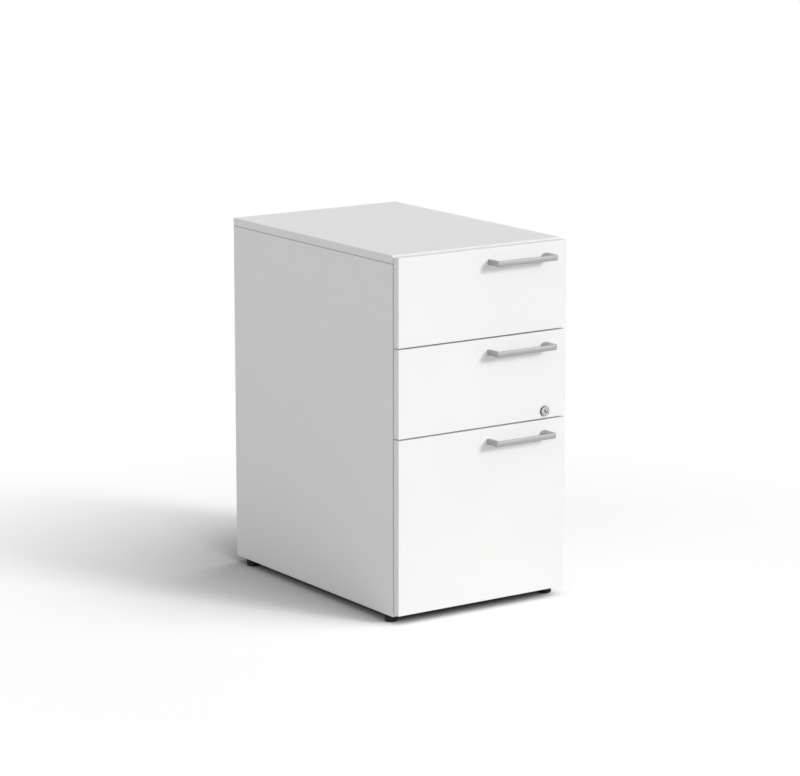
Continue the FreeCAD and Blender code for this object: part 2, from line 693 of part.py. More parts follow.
core_outline = [
    (0, 0), (s.lock_plug / 2, 0), (s.lock_plug / 2, core_length), (s.lock_disc / 2, core_length),
    (s.lock_disc / 2, core_length + s.lock_disc_height), (0, core_length + s.lock_disc_height),
]
core_front = lock_front + s.lock_sink
disc_back = core_front + core_length + s.lock_disc_height
half_turn = s.lock_turn / 2
throw_x = across(s.lock_throw, half_turn)
throw_z = aside(s.lock_throw, half_turn)
pin_z = lock_z - throw_z
drive_pin = rod_y(s.lock_pin, disc_back - s.lock_disc_height, disc_back + s.lock_pin_length,
                  lock_x + throw_x, pin_z)
core = place(turned(core_outline, "XY_Plane"), lock_x, core_front, lock_z)
key_slot = doc.addObject("Part::Box", "KeySlot")
bind(key_slot, Length=s.key_slot_width, Width=s.key_slot_depth, Height=s.key_slot_length)
half_width = s.key_slot_width / 2
half_length = s.key_slot_length / 2
slot_x = lock_x - across(half_width, s.key_slot_lean) + aside(half_length, s.key_slot_lean)
slot_z = lock_z - aside(half_width, s.key_slot_lean) - across(half_length, s.key_slot_lean)
place(key_slot, slot_x, core_front, slot_z, FreeCAD.Vector(0, -1, 0), s.key_slot_lean.value)
bind(key_slot, **{"Placement.Rotation.Angle": s.key_slot_lean * DEGREE})
node(cut(fuse([core, drive_pin]), [key_slot]), "lock_core")

# Lock bar: a strip on the right side panel, with a slotted tab for the drive pin and a tooth per drawer
bar_y0 = carcass_front + s.bar_setback
bar_y1 = bar_y0 + s.bar_width
bar_x = inner - s.bar_sheet
tooth_tops = {drawer: data["stud"] - s.stud / 2 - s.tooth_gap for drawer, data in DRAWERS.items()}
bar_pieces = [
    block(bar_x, inner, bar_y0, bar_y1,
          tooth_tops["file"] - s.tooth_height - s.bar_end, tooth_tops["top"] + s.bar_end),
]
for top in tooth_tops.values():
    tooth_y = bar_y0 + s.tooth_inset
    bar_pieces.append(
        block(bar_x - s.tooth_reach, bar_x, tooth_y, tooth_y + s.tooth_depth, top - s.tooth_height, top))
slot_half = s.lock_pin / 2 + s.slot_gap
slot_x0 = lock_x + throw_x - slot_half
slot_x1 = lock_x + s.lock_throw + slot_half
tab_y0 = disc_back + s.tab_gap
tab_y1 = tab_y0 + s.tab_sheet
bar_pieces.append(
    block(slot_x0 - s.tab_rim, bar_x, tab_y0, tab_y1, pin_z - s.tab_height / 2, pin_z + s.tab_height / 2))
pin_slot = block(slot_x0, slot_x1, tab_y0, tab_y1, pin_z - slot_half, pin_z + slot_half)
node(cut(fuse(bar_pieces), [pin_slot]), "lock_bar")
guides = []
for z0 in (file_front_top - s.lower_guide_drop, top_front_bottom + s.upper_guide_rise):
    strap_x = bar_x - s.guide_gap - s.guide_sheet
    strap = block(strap_x, inner, bar_y0 - s.guide_foot, bar_y1 + s.guide_foot, z0, z0 + s.guide_height)
    way = block(bar_x - s.guide_gap, inner, bar_y0 - s.guide_gap, bar_y1 + s.guide_gap,
                z0, z0 + s.guide_height)
    guides.append(cut(strap, [way]))
node(group(guides), "lock_bar_guides")

# Carcass boards, with every hole taken out
node(cut(banded_board(-half, half, carcass_front, back, side_top, carcass_top), panel_cuts["top"]),
     "top_panel")
for name, side in SIDES.items():
    x0, x1 = side_span(side, inner, half)
    board = banded_board(x0, x1, carcass_front, back, carcass_bottom, side_top)
    node(cut(board, panel_cuts[name]), "%s_side_panel" % name)
bottom_board = block(-inner, inner, carcass_front, back_inner, carcass_bottom, carcass_bottom + s.board)
node(cut(bottom_board, panel_cuts["bottom"]), "bottom_panel")
back_board = block(-inner, inner, back_inner, back, carcass_bottom, side_top)
node(cut(back_board, panel_cuts["back"]), "back_panel")


def bow_handle(z):
    """A bow handle with broad legs, fixed by two screws from behind the front."""
    reach = s.handle_projection
    bar_back = s.handle_bar
    points = [
        (0, 0), (s.handle_length, 0), (s.handle_length, reach),
        (s.handle_length - s.handle_leg, reach), (s.handle_length - s.handle_leg, bar_back),
        (s.handle_leg, bar_back), (s.handle_leg, reach), (0, reach),
    ]
    body = padded(points, "XY_Plane", s.handle_height, False)
    pad = body.Tip

    def upright_at(depth):
        def chosen(edge):
            ends = edge.Vertexes
            upright = abs(ends[0].X - ends[1].X) + abs(ends[0].Y - ends[1].Y) < TOUCH
            return upright and abs(ends[0].Y - depth) < TOUCH
        return chosen

    def level_edge(edge):
        box = edge.BoundBox
        return box.ZLength < TOUCH and box.YMin < reach.value - TOUCH

    def behind_the_bar(edge):
        return edge.BoundBox.YMin > bar_back.value - TOUCH

    def between_the_legs(edge):
        box = edge.BoundBox
        leg = s.handle_leg.value - TOUCH
        return box.XMin > leg and box.XMax < s.handle_length.value - leg

    def back_edge(edge):
        return level_edge(edge) and behind_the_bar(edge) and between_the_legs(edge)

    def outer_edge(edge):
        return level_edge(edge) and not back_edge(edge)

    bend = rounded(body, pad, s.handle_bend, upright_at(0))
    crook = rounded(body, bend, s.handle_crook, upright_at(bar_back.value))
    back_rounding = rounded(body, crook, s.handle_back_softness, back_edge)
    rounded(body, back_rounding, s.handle_softness, outer_edge)
    place(body, half - s.handle_inset - s.handle_length, front_face - reach, z - s.handle_height / 2)
    return body


def build_drawer(drawer, data):
    """One drawer: front, box, handle, runners and their fasteners."""
    bottom = data["box_bottom"]
    top = bottom + data["side_height"]
    base_bottom = bottom + s.base_rise
    base_top = base_bottom + s.drawer_base
    groove = box_in + s.base_groove
    handle_z = data["top"] - s.handle_drop
    screws = []
    cams = []
    front_cuts = [block(-groove, groove, front_back - s.base_groove, front_back, base_bottom, base_top)]
    back_cuts = []

    handle_cuts = []
    leg_middle = s.handle_leg / 2
    handle_left = half - s.handle_inset - s.handle_length
    for x in (handle_left + leg_middle, handle_left + s.handle_length - leg_middle):
        head_back = front_back + s.handle_screw_head_height
        screws.append(fuse([
            rod_y(s.handle_screw, front_face - s.handle_screw_bite, front_back, x, handle_z),
            rod_y(s.handle_screw_head, front_back, head_back, x, handle_z),
        ]))
        clear = s.handle_screw + s.fit_gap
        front_cuts.append(rod_y(clear, front_face, front_back, x, handle_z))
        handle_cuts.append(
            rod_y(clear, front_face - s.handle_screw_bite - s.fit_gap, front_face, x, handle_z))
    node(cut(bow_handle(handle_z), handle_cuts), "%s_drawer_handle" % drawer)

    for name, side in SIDES.items():
        x0, x1 = side_span(side, box_in, box_out)
        g0, g1 = side_span(side, box_in, groove)
        side_cuts = [block(g0, g1, front_back, drawer_end, base_bottom, base_top)]
        cam_x = (box_in + s.drawer_board / 2) * side
        cam_y = front_back + s.cam_reach
        for rise in data["cams"]:
            z = bottom + rise
            cams.append(rod_y(s.cam_bolt, front_back - s.cam_bolt_bite, front_back + bolt_stop, cam_x, z))
            cams.append(side_rod(side, s.cam, box_in, box_in + s.drawer_cam_depth, cam_y, z))
            front_cuts.append(rod_y(bolt_hole, front_back - s.cam_bolt_bite, front_back, cam_x, z))
            side_cuts.append(rod_y(bolt_hole, front_back, cam_y, cam_x, z))
            side_cuts.append(side_rod(side, cam_hole, box_in, box_in + s.drawer_cam_depth, cam_y, z))
        screw_y = drawer_end - s.drawer_board / 2
        neck = box_out - s.back_screw_sink
        tip = box_out - s.back_screw_length
        clear = s.back_screw + s.fit_gap
        for rise in data["back_screws"]:
            z = bottom + rise
            screws.append(fuse([
                side_rod(side, s.back_screw, tip, neck, screw_y, z),
                side_cone(side, s.back_screw, s.back_screw_head, neck, box_out, screw_y, z),
            ]))
            side_cuts.append(side_rod(side, clear, box_in, neck, screw_y, z))
            side_cuts.append(
                side_cone(side, clear, s.back_screw_head + s.fit_gap, neck, box_out, screw_y, z))
            back_cuts.append(side_rod(side, clear, tip, box_in, screw_y, z))
        runner = runner_channel(side, runner_start, slide_length, data["slide"], runner_halves[drawer] * 2)
        runner_cuts = []
        clear = s.slide_screw + s.fit_gap
        web_face = box_out + s.slide_sheet
        for y in screw_places(s.runner_setback):
            screws.append(fuse([
                side_rod(side, s.slide_screw, box_out - s.slide_screw_bite, web_face, y, data["slide"]),
                side_rod(side, s.slide_screw_head, web_face, web_face + s.runner_head_height,
                         y, data["slide"]),
            ]))
            runner_cuts.append(side_rod(side, clear, box_out, web_face, y, data["slide"]))
            side_cuts.append(
                side_rod(side, clear, box_out - s.slide_screw_bite, box_out, y, data["slide"]))
        node(cut(runner, runner_cuts), "%s_%s_slide_runner" % (drawer, name))
        if side == RIGHT:
            screws.append(fuse([
                side_rod(side, s.stud, box_out, box_out + s.stud_reach, stud_y, data["stud"]),
                side_rod(side, s.stud_pin, box_out - s.stud_bite, box_out, stud_y, data["stud"]),
            ]))
            side_cuts.append(
                side_rod(side, s.stud_pin + s.fit_gap, box_out - s.stud_bite, box_out,
                         stud_y, data["stud"]))
        board = block(x0, x1, front_back, drawer_end, bottom, top)
        node(cut(board, side_cuts), "%s_drawer_%s_side" % (drawer, name))

    if drawer == "middle":
        front_cuts.append(rod_y(s.lock_barrel + s.fit_gap, front_face, front_back, lock_x, lock_z))
    front = banded_board(-half, half, front_face, front_back, data["bottom"], data["top"])
    node(cut(front, front_cuts), "%s_drawer_front" % drawer)
    back_board = block(-box_in, box_in, back_face, drawer_end, base_top, top)
    node(cut(back_board, back_cuts), "%s_drawer_back" % drawer)
    base = block(-groove, groove, front_back - s.base_groove, drawer_end, base_bottom, base_top)
    node(base, "%s_drawer_base" % drawer)
    node(group(screws), "%s_drawer_screws" % drawer)
    node(group(cams), "%s_drawer_cam_fittings" % drawer)


for drawer, data in DRAWERS.items():
    build_drawer(drawer, data)

# Hanger rails for hanging folders, clipped over the file drawer's sides
hanger_outline = [
    (0, s.hanger_lip), (s.drawer_board, s.hanger_lip), (s.drawer_board, 0),
    (s.drawer_board + s.hanger_sheet, 0),
    (s.drawer_board + s.hanger_sheet, s.hanger_lip + s.hanger_stand),
    (s.drawer_board, s.hanger_lip + s.hanger_stand), (s.drawer_board, s.hanger_lip + s.hanger_sheet),
    (0, s.hanger_lip + s.hanger_sheet),
]
file_side_top = DRAWERS["file"]["box_bottom"] + file_side_height
hanger_length = back_face - front_back
hanger_bottom = file_side_top - s.hanger_lip
left_hanger = place(padded(hanger_outline, "XZ_Plane", hanger_length, True),
                    -box_out, front_back, hanger_bottom)
right_hanger = place(padded(hanger_outline, "XZ_Plane", hanger_length, False),
                     box_out, front_back, hanger_bottom, FreeCAD.Vector(0, 0, 1), 180)
node(group([left_hanger, right_hanger]), "file_hanger_rails")

# Check every object and write each sub-part to its own file
doc.recompute()
for piece in doc.Objects:
    if "Invalid" in piece.State or "Error" in piece.State:
        raise RuntimeError("%s (%s) failed: %s" % (piece.Name, piece.Label, piece.State))
os.makedirs("parts", exist_ok=True)
for piece in nodes:
    if piece.Shape.isNull() or not piece.Shape.isValid() or not piece.Shape.Solids:
        raise RuntimeError("%s has no sound shape" % piece.Label)
for piece in nodes:
    piece.Shape.exportStep(os.path.join("parts", piece.Label + ".step"))
whole = Part.makeCompound([piece.Shape for piece in nodes]).BoundBox
print("%d sub-parts, %.1f x %.1f x %.1f mm" % (len(nodes), whole.XLength, whole.YLength, whole.ZLength))
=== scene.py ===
"""Looks of a white three-drawer office pedestal on a white studio floor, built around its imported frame."""
import json
import math

import bmesh
import bpy
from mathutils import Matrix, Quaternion, Vector


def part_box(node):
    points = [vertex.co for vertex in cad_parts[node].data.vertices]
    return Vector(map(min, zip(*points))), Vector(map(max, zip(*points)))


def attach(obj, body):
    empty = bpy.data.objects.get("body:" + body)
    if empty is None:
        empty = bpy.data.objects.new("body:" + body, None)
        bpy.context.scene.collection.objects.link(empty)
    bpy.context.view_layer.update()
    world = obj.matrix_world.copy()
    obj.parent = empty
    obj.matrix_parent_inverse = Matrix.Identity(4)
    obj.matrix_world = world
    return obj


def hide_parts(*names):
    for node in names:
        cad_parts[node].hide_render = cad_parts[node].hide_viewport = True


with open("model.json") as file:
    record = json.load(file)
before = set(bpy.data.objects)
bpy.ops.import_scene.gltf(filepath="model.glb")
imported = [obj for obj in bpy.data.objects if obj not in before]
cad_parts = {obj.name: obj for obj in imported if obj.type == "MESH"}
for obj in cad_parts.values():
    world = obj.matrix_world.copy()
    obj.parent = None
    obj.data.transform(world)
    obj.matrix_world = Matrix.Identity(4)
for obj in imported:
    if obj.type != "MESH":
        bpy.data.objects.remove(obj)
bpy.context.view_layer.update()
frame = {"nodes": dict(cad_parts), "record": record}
nodes = frame["nodes"]
scene = bpy.context.scene
scene.view_settings.view_transform = "Standard"

DRAWERS = ("top", "middle", "file")
SIDES = ("left", "right")
ENDS = ("front", "rear")
ALONG_X, ALONG_Y, ALONG_Z = range(3)
QUARTER = math.pi / 2
MM = 0.001


class Socket:
    """One output of a shader node. Arithmetic on it adds Math nodes."""

    def __init__(self, sheet, output):
        self.sheet = sheet
        self.output = output

    def maths(self, operation, *values):
        return self.sheet.node("ShaderNodeMath", {"operation": operation}, dict(enumerate(values)))

    def __add__(self, other):
        return self.maths("ADD", self, other)

    def __radd__(self, other):
        return self.maths("ADD", other, self)

    def __sub__(self, other):
        return self.maths("SUBTRACT", self, other)

    def __rsub__(self, other):
        return self.maths("SUBTRACT", other, self)

    def __mul__(self, other):
        return self.maths("MULTIPLY", self, other)

    def __rmul__(self, other):
        return self.maths("MULTIPLY", other, self)

    def __abs__(self):
        return self.maths("ABSOLUTE", self)

    def root(self):
        return self.maths("SQRT", self)

    def least(self, other):
        return self.maths("MINIMUM", self, other)

    def most(self, other):
        return self.maths("MAXIMUM", self, other)


class NodeSheet:
    """The shader nodes of a material or a world."""

    def __init__(self, owner):
        owner.use_nodes = True
        self.tree = owner.node_tree
        self.tree.nodes.clear()

    def node(self, kind, settings=None, sockets=None, output=0):
        """Adds a node: its type, its settings, then the values or links of its sockets.

        Gives the output asked for, or a list of them if several are asked for.
        """
        made = self.tree.nodes.new(kind)
        for name, value in (settings or {}).items():
            setattr(made, name, value)
        for name, value in (sockets or {}).items():
            if isinstance(value, Socket):
                self.tree.links.new(value.output, made.inputs[name])
            else:
                made.inputs[name].default_value = value
        if isinstance(output, tuple):
            return [Socket(self, made.outputs[each]) for each in output]
        return Socket(self, made.outputs[output]) if made.outputs else None

    def seen(self):
        """One on rays that show the studio itself: from the camera, off metal and through glass."""
        camera_ray, glossy_ray, clear_ray = self.node(
            "ShaderNodeLightPath", output=("Is Camera Ray", "Is Glossy Ray", "Is Transmission Ray"))
        return camera_ray.most(glossy_ray).most(clear_ray)


MIX_FIRST_COLOUR = 6
MIX_SECOND_COLOUR = 7
MIX_COLOUR = 2
OPEN_SHARE_SAMPLES = 16


class Finish(NodeSheet):
    """A material and its nodes."""

    def __init__(self, name):
        self.material = bpy.data.materials.new(name)
        super().__init__(self.material)

    def place(self):
        """Where a point is in the part's own frame, in metres."""
        return self.node("ShaderNodeTexCoord", output="Object")

    def axes(self, place):
        """The three coordinates of a place."""
        return self.node("ShaderNodeSeparateXYZ", {}, {0: place}, output=("X", "Y", "Z"))

    def stretched(self, place, x, y, z):
        """A place scaled along each axis, for grain and brush marks."""
        return self.node("ShaderNodeVectorMath", {"operation": "MULTIPLY"}, {0: place, 1: (x, y, z)})

    def noise(self, place, scale, detail, roughness=0.5):
        """A cloudy value, with so many patches to the metre."""
        return self.node("ShaderNodeTexNoise", {}, {
            "Vector": place, "Scale": scale, "Detail": detail, "Roughness": roughness})

    def speckle(self, place, scale):
        """How far a point is from the nearest of many scattered grains."""
        return self.node("ShaderNodeTexVoronoi", {}, {"Vector": place, "Scale": scale}, output="Distance")

    def spread(self, value, low, high, start=0.0, end=1.0):
        """A value taken from one range to another, smoothly and without going past its ends."""
        return self.node("ShaderNodeMapRange", {"interpolation_type": "SMOOTHSTEP"}, {
            "Value": value, "From Min": low, "From Max": high, "To Min": start, "To Max": end})

    def blend(self, share, first, second):
        """A colour between two colours."""
        return self.node("ShaderNodeMix", {"data_type": "RGBA"}, {
            "Factor": share,
            MIX_FIRST_COLOUR: shade(first),
            MIX_SECOND_COLOUR: shade(second),
        }, output=MIX_COLOUR)

    def grey(self, level):
        """A grey of a given level."""
        return self.node("ShaderNodeCombineColor", {}, {0: level, 1: level, 2: level})

    def bump(self, height, depth):
        """The normal of a surface whose relief is so deep."""
        return self.node("ShaderNodeBump", {}, {"Height": height, "Distance": depth, "Strength": 1.0})

    def open_share(self, reach, lean=(0.0, 0.0, 0.0)):
        """How much of the space round a point's leaning normal has nothing standing within reach."""
        normal = self.node("ShaderNodeNewGeometry", output="Normal")
        leaning = self.node("ShaderNodeVectorMath", {"operation": "ADD"}, {0: normal, 1: lean})
        unit = self.node("ShaderNodeVectorMath", {"operation": "NORMALIZE"}, {0: leaning})
        return self.node("ShaderNodeAmbientOcclusion", {"samples": OPEN_SHARE_SAMPLES}, {
            "Distance": reach, "Normal": unit}, output="AO")

    def surface(self, **sockets):
        """The Principled surface of this finish."""
        names = {name.replace("_", " "): value for name, value in sockets.items()}
        made = self.node("ShaderNodeBsdfPrincipled", {}, names)
        self.node("ShaderNodeOutputMaterial", {}, {"Surface": made})
        return self.material


def shade(colour):
    """A colour with its alpha, or a socket as it is."""
    if isinstance(colour, Socket):
        return colour
    return (*colour, 1.0)


def dress(name, material):
    """Gives a carried-over part its finish."""
    mesh = nodes[name].data
    mesh.materials.clear()
    mesh.materials.append(material)


# White laminate of the carcass and the fronts
MELAMINE_IOR = 1.45
WHITE = (0.875, 0.875, 0.873)
WHITE_WARM = (0.888, 0.886, 0.880)
PEARL_ROUGHNESS = 0.25
BAND = 1.0 * MM
HAIRLINE = 0.16 * MM
HAIRLINE_COLOUR = (0.62, 0.615, 0.60)
HAIRLINE_SHARE = 0.35
HAIRLINE_SINK = 1.5
SEAM_SHADE = (0.42, 0.415, 0.405)
SEAM_HALF = 0.45 * MM
SEAM_SOFT = 1.05 * MM
CHIP_PALE = (0.56, 0.43, 0.28)
CHIP_DARK = (0.34, 0.23, 0.13)
SKIN = 0.5 * MM
SKIN_SOFT = 0.7 * MM


def board_depths(finish, name):
    """How far a point of a board lies from its nearest pair of faces, then from the second nearest."""
    low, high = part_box(name)
    depth = []
    for axis, value in enumerate(finish.axes(finish.place())):
        depth.append((value - low[axis]).least(high[axis] - value))
    nearest = depth[0].least(depth[1]).least(depth[2])
    furthest = depth[0].most(depth[1]).most(depth[2])
    second = depth[0] + depth[1] + depth[2] - nearest - furthest
    return nearest, second


def chipboard(finish):
    """The pressed chips that show inside a drilled hole or a groove."""
    chips = finish.noise(finish.place(), scale=520.0, detail=4.0, roughness=0.7)
    return finish.blend(finish.spread(chips, low=0.35, high=0.65), CHIP_DARK, CHIP_PALE)


def white_laminate(name, seams=()):
    """White melamine with a pearled surface and a hairline at each edge band.

    Each seam, an axis and a level along it, is where the board meets another, and has a painted shade line
    along it.
    """
    finish = Finish("white_laminate_" + name)
    place = finish.place()
    nearest, second = board_depths(finish, name)
    hairline = 1 - finish.spread(abs(second - BAND), 0.0, HAIRLINE)
    cloud = finish.noise(place, scale=9.0, detail=3.0)
    pearl = finish.noise(place, scale=1900.0, detail=2.0, roughness=0.6)
    colour = finish.blend(finish.spread(cloud, low=0.3, high=0.7), WHITE, WHITE_WARM)
    colour = finish.blend(hairline * HAIRLINE_SHARE, colour, HAIRLINE_COLOUR)
    for axis, level in seams:
        # Painted shade: a darker line along each seam, where the boards' rounded edges meet.
        joint_shade = 1 - finish.spread(abs(finish.axes(place)[axis] - level), SEAM_HALF, SEAM_SOFT)
        colour = finish.blend(joint_shade, colour, SEAM_SHADE)
    colour = finish.blend(finish.spread(nearest, SKIN, SKIN_SOFT), colour, chipboard(finish))
    uneven = cloud + pearl * PEARL_ROUGHNESS
    return finish.surface(
        Base_Color=colour,
        Roughness=finish.spread(uneven, low=0.4, high=0.8, start=0.36, end=0.46),
        IOR=MELAMINE_IOR,
        Normal=finish.bump(pearl - hairline * HAIRLINE_SINK, depth=0.012 * MM),
    )


# Pale grey board of the drawer boxes
DRAWER_GREY = (0.722, 0.722, 0.714)
DRAWER_PALE = (0.752, 0.752, 0.745)
GRAIN_ACROSS = 60.0
GRAIN_ALONG = 3.0
GRAIN_RELIEF = 0.6


def drawer_board(name, along):
    """Pale grey melamine drawer board: a fine printed grain along its length and a pearled surface."""
    finish = Finish("drawer_board_" + name)
    place = finish.place()
    squeeze = [GRAIN_ACROSS, GRAIN_ACROSS, GRAIN_ACROSS]
    squeeze[along] = GRAIN_ALONG
    grain = finish.noise(finish.stretched(place, *squeeze), scale=5.0, detail=5.0, roughness=0.62)
    pearl = finish.noise(place, scale=1500.0, detail=2.0, roughness=0.6)
    return finish.surface(
        Base_Color=finish.blend(finish.spread(grain, low=0.35, high=0.65), DRAWER_GREY, DRAWER_PALE),
        Roughness=finish.spread(grain, low=0.3, high=0.7, start=0.42, end=0.50),
        IOR=MELAMINE_IOR,
        Normal=finish.bump(pearl + grain * GRAIN_RELIEF, depth=0.015 * MM),
    )


# Satin metal of the handles
HANDLE_DULL = (0.352, 0.351, 0.349)
HANDLE_BRIGHT = (0.412, 0.411, 0.409)
HANDLE_METALLIC = 0.5
HANDLE_BRUSHED = 0.6


def satin_handle():
    """Satin silver-grey metal with fine marks brushed along the bar."""
    finish = Finish("satin_handle_metal")
    place = finish.place()
    along_bar = finish.stretched(place, x=12.0, y=900.0, z=900.0)
    brushed = finish.noise(along_bar, scale=3.0, detail=3.0, roughness=0.6)
    cloud = finish.noise(place, scale=40.0, detail=3.0)
    uneven = brushed * HANDLE_BRUSHED + cloud * (1 - HANDLE_BRUSHED)
    return finish.surface(
        Base_Color=finish.blend(finish.spread(brushed, low=0.3, high=0.7), HANDLE_DULL, HANDLE_BRIGHT),
        Metallic=HANDLE_METALLIC,
        Roughness=finish.spread(uneven, low=0.3, high=0.7, start=0.46, end=0.56),
        Normal=finish.bump(brushed, depth=0.006 * MM),
    )


# Plated metal of the lock
LOCK_DULL = (0.50, 0.505, 0.51)
LOCK_BRIGHT = (0.72, 0.725, 0.73)
LOCK_RIM_SHADE = (0.16, 0.16, 0.165)
LOCK_HOLLOW_SHADE = (0.012, 0.012, 0.012)
RIM_SHADE_METALLIC = 0.6
RIM_SHADE_ROUGHNESS = 0.4
RIM_START = 8.6 * MM
RIM = 9.3 * MM
CORE_EDGE = 5.65 * MM
CORE_LINE = 0.55 * MM
CORE_LINE_DARK = 0.1375 * MM
SUNK_START = 1.0 * MM
SUNK_END = 1.8 * MM
KEY_SLOT_LENGTH = 5.5 * MM
KEY_SLOT_WIDTH = 1.8 * MM
KEY_SLOT_LEAN = math.radians(35.0)
KEY_SLOT_SHADE_SOFT = 0.9 * MM


def plated_lock(middle, face):
    """Bright plated lock metal: turning marks, and painted shade darkening its rim, the groove round the
    core, its sunk parts and round its key slot.

    The lock turns about an axis along Y through its middle, and its face is at a level of Y.
    """
    finish = Finish("plated_lock_metal")
    place = finish.place()
    x, y, z = finish.axes(place)
    right = x - middle.x
    up = z - middle.z
    radius = (right * right + up * up).root()
    rings = finish.node("ShaderNodeTexNoise", {"noise_dimensions": "1D"}, {
        "W": radius, "Scale": 4200.0, "Detail": 2.0})
    cloud = finish.noise(place, scale=260.0, detail=3.0)
    # Painted shade: a darker, less metallic band on the rim and a dark line in the groove round the core.
    rim = finish.spread(radius, RIM_START, RIM)
    groove = 1 - finish.spread(abs(radius - CORE_EDGE), CORE_LINE_DARK, CORE_LINE)
    rim_shade = rim.most(groove)
    # Painted shade: near black in the sunk parts behind the face and round the key slot.
    sunk = finish.spread(y - face, SUNK_START, SUNK_END)
    along_slot = up * math.cos(KEY_SLOT_LEAN) - right * math.sin(KEY_SLOT_LEAN)
    across_slot = right * math.cos(KEY_SLOT_LEAN) + up * math.sin(KEY_SLOT_LEAN)
    beyond = (abs(along_slot) - KEY_SLOT_LENGTH / 2).most(abs(across_slot) - KEY_SLOT_WIDTH / 2)
    slot_shade = 1 - finish.spread(beyond, 0.0, KEY_SLOT_SHADE_SOFT)
    colour = finish.blend(finish.spread(cloud, low=0.35, high=0.7), LOCK_DULL, LOCK_BRIGHT)
    colour = finish.blend(rim_shade, colour, LOCK_RIM_SHADE)
    colour = finish.blend(sunk.most(slot_shade), colour, LOCK_HOLLOW_SHADE)
    uneven = rings + rim_shade * RIM_SHADE_ROUGHNESS
    return finish.surface(
        Base_Color=colour,
        Metallic=finish.spread(rim_shade, 0.0, 1.0, start=1.0, end=RIM_SHADE_METALLIC) * (1 - sunk),
        Roughness=finish.spread(uneven, low=0.3, high=0.9, start=0.20, end=0.42),
        Normal=finish.bump(rings, depth=0.006 * MM),
    )


# Zinc plated steel of the slides and fittings
ZINC_DULL = (0.57, 0.576, 0.582)
ZINC_BRIGHT = (0.66, 0.664, 0.666)
FILM_ROUGHNESS = 0.5
SPANGLE_ROUGHNESS = 0.3
ROLLED_ROUGHNESS = 0.3
SPANGLE_RELIEF = 0.5


def zinc_steel():
    """Zinc plated steel: a fine spangle, rolling marks along its length and a dulled film in places."""
    finish = Finish("zinc_steel")
    place = finish.place()
    rolled = finish.noise(finish.stretched(place, x=700.0, y=9.0, z=700.0), scale=2.0, detail=3.0)
    spangle = finish.speckle(place, scale=520.0)
    film = finish.noise(place, scale=26.0, detail=4.0, roughness=0.6)
    uneven = film * FILM_ROUGHNESS + spangle * SPANGLE_ROUGHNESS + rolled * ROLLED_ROUGHNESS
    return finish.surface(
        Base_Color=finish.blend(finish.spread(film, low=0.35, high=0.7), ZINC_DULL, ZINC_BRIGHT),
        Metallic=1.0,
        Roughness=finish.spread(uneven, low=0.3, high=0.8, start=0.26, end=0.44),
        Normal=finish.bump(rolled + spangle * SPANGLE_RELIEF, depth=0.008 * MM),
    )


# Bright steel of the balls and their cages
BALL_OILED = (0.66, 0.66, 0.665)
BALL_BRIGHT = (0.74, 0.74, 0.74)


def bright_steel():
    """Polished bearing steel, faintly clouded by oil."""
    finish = Finish("bright_steel")
    place = finish.place()
    oil = finish.noise(place, scale=90.0, detail=4.0, roughness=0.6)
    fine = finish.noise(place, scale=2400.0, detail=1.0)
    return finish.surface(
        Base_Color=finish.blend(finish.spread(oil, low=0.35, high=0.7), BALL_OILED, BALL_BRIGHT),
        Metallic=1.0,
        Roughness=finish.spread(oil, low=0.3, high=0.7, start=0.14, end=0.28),
        Normal=finish.bump(fine, depth=0.003 * MM),
    )


# Black plastic of the glides and the release levers
PLASTIC_BLACK = (0.008, 0.008, 0.009)
PLASTIC_SCUFFED = (0.020, 0.020, 0.021)
PLASTIC_SHINE = 0.22


def black_plastic():
    """Black moulded plastic with a spark-eroded texture and pale scuffs."""
    finish = Finish("black_plastic")
    place = finish.place()
    grain = finish.noise(place, scale=2200.0, detail=2.0, roughness=0.6)
    scuff = finish.noise(place, scale=70.0, detail=4.0, roughness=0.65)
    return finish.surface(
        Base_Color=finish.blend(finish.spread(scuff, low=0.45, high=0.75), PLASTIC_BLACK, PLASTIC_SCUFFED),
        Specular_IOR_Level=PLASTIC_SHINE,
        Roughness=finish.spread(scuff, low=0.3, high=0.7, start=0.48, end=0.64),
        Normal=finish.bump(grain, depth=0.02 * MM),
    )


# Finishes on the carried-over parts
top_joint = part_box("top_panel")[0].z
for name in ("top_panel", "left_side_panel", "right_side_panel", "back_panel"):
    dress(name, white_laminate(name, [(ALONG_Z, top_joint)]))
dress("bottom_panel", white_laminate("bottom_panel"))
side_board = drawer_board("sides", ALONG_Y)
cross_board = drawer_board("backs", ALONG_X)
handle_metal = satin_handle()
zinc = zinc_steel()
bearing = bright_steel()
plastic = black_plastic()
lock_low, lock_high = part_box("lock_housing")
lock_metal = plated_lock((lock_low + lock_high) / 2, lock_low.y)
for drawer in DRAWERS:
    front = drawer + "_drawer_front"
    dress(front, white_laminate(front))
    dress(drawer + "_drawer_handle", handle_metal)
    for side in SIDES:
        dress("%s_drawer_%s_side" % (drawer, side), side_board)
        dress("%s_%s_slide_rail" % (drawer, side), zinc)
        dress("%s_%s_slide_runner" % (drawer, side), zinc)
    dress(drawer + "_drawer_back", cross_board)
    dress(drawer + "_drawer_base", side_board)
    dress(drawer + "_drawer_screws", zinc)
    dress(drawer + "_drawer_cam_fittings", zinc)
for name in ("top_ball_cages", "middle_ball_cages", "file_rear_ball_cages", "file_front_ball_cages"):
    dress(name, bearing)
for name in ("cam_fittings", "glide_inserts", "slide_screws", "lock_bar_guides", "lock_nut", "lock_bar",
             "file_left_slide_carriage", "file_right_slide_carriage", "file_hanger_rails"):
    dress(name, zinc)
for name in ("lock_housing", "lock_core"):
    dress(name, lock_metal)
for end in ENDS:
    for side in SIDES:
        dress("%s_%s_glide" % (end, side), plastic)

